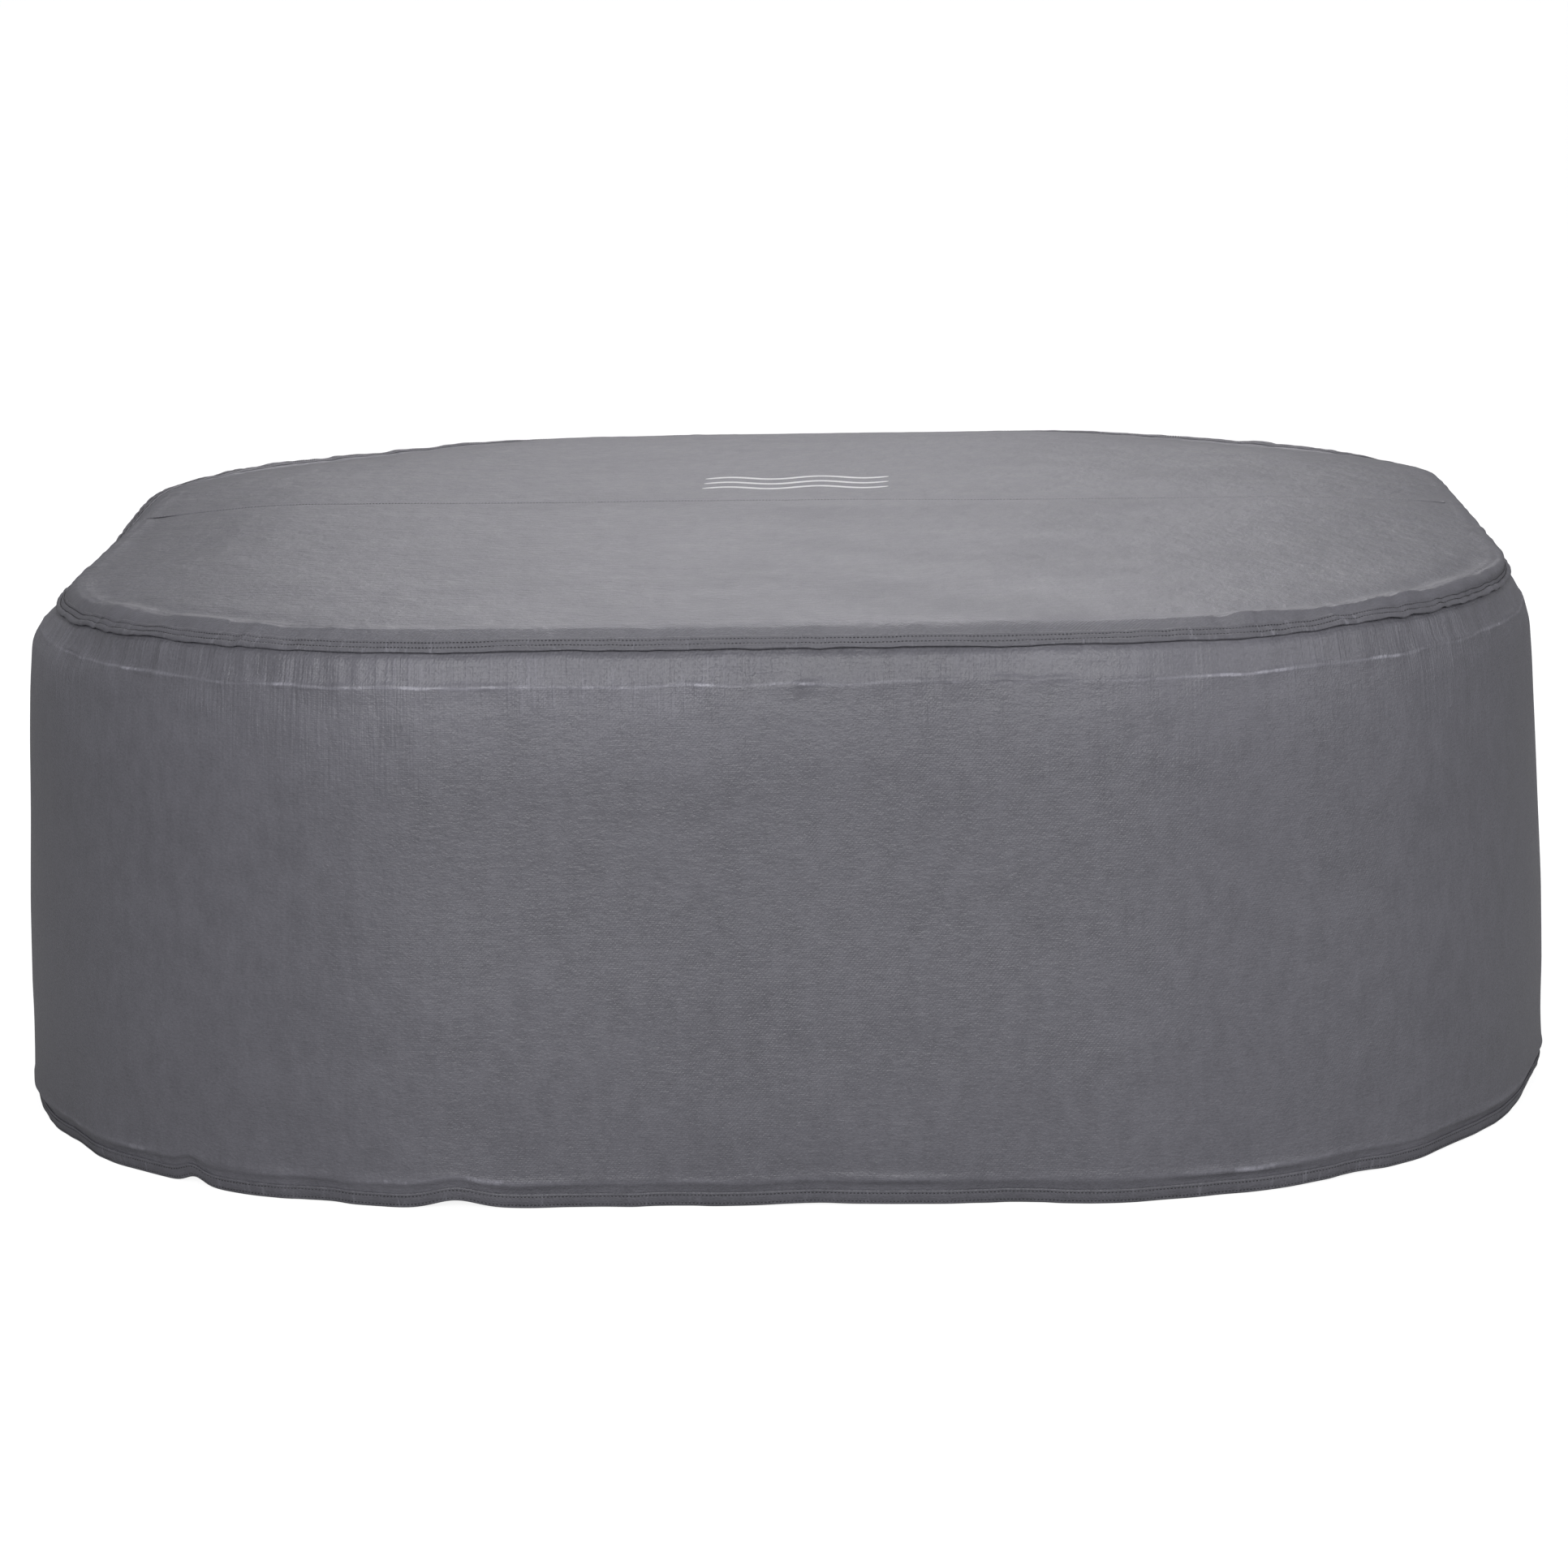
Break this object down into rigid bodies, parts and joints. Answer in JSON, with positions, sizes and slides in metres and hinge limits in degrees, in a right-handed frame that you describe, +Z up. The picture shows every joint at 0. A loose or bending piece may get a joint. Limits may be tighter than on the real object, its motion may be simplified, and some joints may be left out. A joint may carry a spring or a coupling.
{
  "type": "spa cover",
  "caption": "Fitted thermal jacket for a square inflatable spa, with an insulated top and wall, an elastic hem, and a port for the pump closed by a flap and a hem strap.",
  "frame": {"origin": "middle of the cover in plan, on the plane that the hem stands on", "axes": "+Z up through the top, +X to the right and -Y towards the front, seen from the front; the pump port is in the +Y wall"},
  "size_m": [1.8032, 1.8159, 0.6349],
  "materials": {
    "shell_fabric": "satin coated polyester, fine diagonal grain",
    "insulation_foam": "closed-cell foam sheet, matt",
    "foil_liner": "metallised woven liner, crinkled",
    "seam_tape": "coated binding tape, satin",
    "elastic_cord": "braided elastic cord",
    "white_print": "printed ink, satin",
    "webbing": "woven polypropylene webbing",
    "loop_pile": "brushed loop pile",
    "hook_tape": "moulded hook tape"
  },
  "bodies": {
    "jacket": {"top_shell_front": "shell_fabric", "top_shell_back": "shell_fabric", "top_lap_seam": "seam_tape", "top_insulation_panel": "insulation_foam", "top_insulation_border": "insulation_foam", "top_liner": "foil_liner", "top_binding": "seam_tape", "wall_shell_front": "shell_fabric", "wall_shell_back": "shell_fabric", "wall_insulation_front": "insulation_foam", "wall_insulation_back": "insulation_foam", "wall_liner_front": "foil_liner", "wall_liner_back": "foil_liner", "side_seam_left": "seam_tape", "side_seam_right": "seam_tape", "hem_tape": "seam_tape", "hem_elastic": "elastic_cord", "wave_print": "white_print", "port_binding": "seam_tape", "flap_head_tape": "seam_tape", "loop_strip_left": "loop_pile", "loop_strip_right": "loop_pile", "strap_anchor": "webbing", "strap_landing_loop": "loop_pile"},
    "port_flap": {"flap_shell": "shell_fabric", "flap_insulation": "insulation_foam", "flap_liner": "foil_liner", "flap_binding": "seam_tape", "hook_strip_left": "hook_tape", "hook_strip_right": "hook_tape", "flap_pull_tab": "webbing"},
    "hem_strap": {"hem_strap": "webbing", "strap_hook_patch": "hook_tape"}
  },
  "joints": [
    {"name": "flap_hinge", "type": "hinge", "parent": "jacket", "child": "port_flap", "pos_m": [0, 0.9025, 0.445], "axis": [1, 0, 0], "range_deg": [0, 140]},
    {"name": "strap_hinge", "type": "hinge", "parent": "jacket", "child": "hem_strap", "pos_m": [-0.26, 0.9055, 0.023], "axis": [0, 0, 1], "range_deg": [0, 150]}
  ]
}
